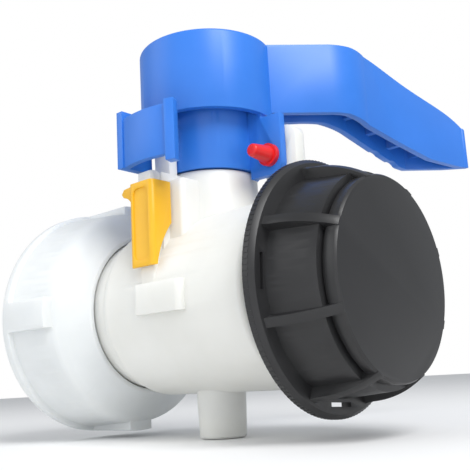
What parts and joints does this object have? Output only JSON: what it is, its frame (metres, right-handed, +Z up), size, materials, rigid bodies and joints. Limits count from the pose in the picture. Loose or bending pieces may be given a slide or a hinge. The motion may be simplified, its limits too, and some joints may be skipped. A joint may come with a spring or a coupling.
{
  "type": "ibc tank valve",
  "caption": "Plastic butterfly valve for a container: union nut inlet, capped threaded outlet, and a lever on the stem with a latch hook, lock slide and transport screw.",
  "frame": {"origin": "centre of the union nut's rear mouth, where the inlet thread begins", "axes": "+X along the pipe from inlet to outlet, +Z up along the stem, +Y the side the closed lever points to"},
  "size_m": [0.1504, 0.1616, 0.1486],
  "materials": {
    "body_white": "satin natural polyethylene",
    "nut_white": "satin natural polyethylene",
    "flap_white": "satin",
    "rubber_black": "matte",
    "gasket_green": "matte",
    "bush_grey": "satin",
    "handle_blue": "satin",
    "cap_black": "satin",
    "slide_yellow": "satin",
    "screw_red": "satin",
    "steel": "brushed"
  },
  "bodies": {
    "valve": {"valve_body": "body_white", "seat_liner": "rubber_black", "lower_bush": "bush_grey", "lower_seal": "rubber_black", "stem_gland": "bush_grey", "nut_retaining_ring": "bush_grey", "inlet_gasket": "gasket_green", "tamper_band": "cap_black"},
    "nut": {"union_nut": "nut_white"},
    "handle": {"handle_lever": "handle_blue", "stem": "bush_grey", "flap_disc": "flap_white", "disc_pin_upper": "steel", "disc_pin_lower": "steel", "stem_seal_lower": "rubber_black", "stem_seal_upper": "rubber_black", "handle_washer": "steel", "handle_screw": "steel", "hub_plug": "handle_blue"},
    "screw": {"transport_screw": "screw_red"},
    "slide": {"lock_slide": "slide_yellow"},
    "cap_carrier": {"cap_gasket": "gasket_green"},
    "cap": {"outlet_cap": "cap_black"}
  },
  "joints": [
    {"name": "nut_spin", "type": "hinge", "parent": "valve", "child": "nut", "pos_m": [0, 0, 0], "axis": [1, 0, 0], "continuous": true},
    {"name": "handle_turn", "type": "hinge", "parent": "valve", "child": "handle", "pos_m": [0.074, 0, 0], "axis": [0, 0, 1], "range_deg": [-90, 0]},
    {"name": "screw_out", "type": "slide", "parent": "handle", "child": "screw", "axis": [0, -1, 0], "range_m": [0, 0.012]},
    {"name": "slide_drop", "type": "slide", "parent": "valve", "child": "slide", "axis": [0, 0, 1], "range_m": [-0.006, 0]},
    {"name": "cap_advance", "type": "slide", "parent": "valve", "child": "cap_carrier", "axis": [1, 0, 0], "range_m": [0, 0.0241]},
    {"name": "cap_turn", "type": "hinge", "parent": "cap_carrier", "child": "cap", "pos_m": [0.14, 0, 0], "axis": [1, 0, 0], "range_deg": [0, 1440]}
  ],
  "couplings": [
    {"joint": "cap_advance", "follows": "cap_turn", "m_per_rad": 0.00095493}
  ]
}
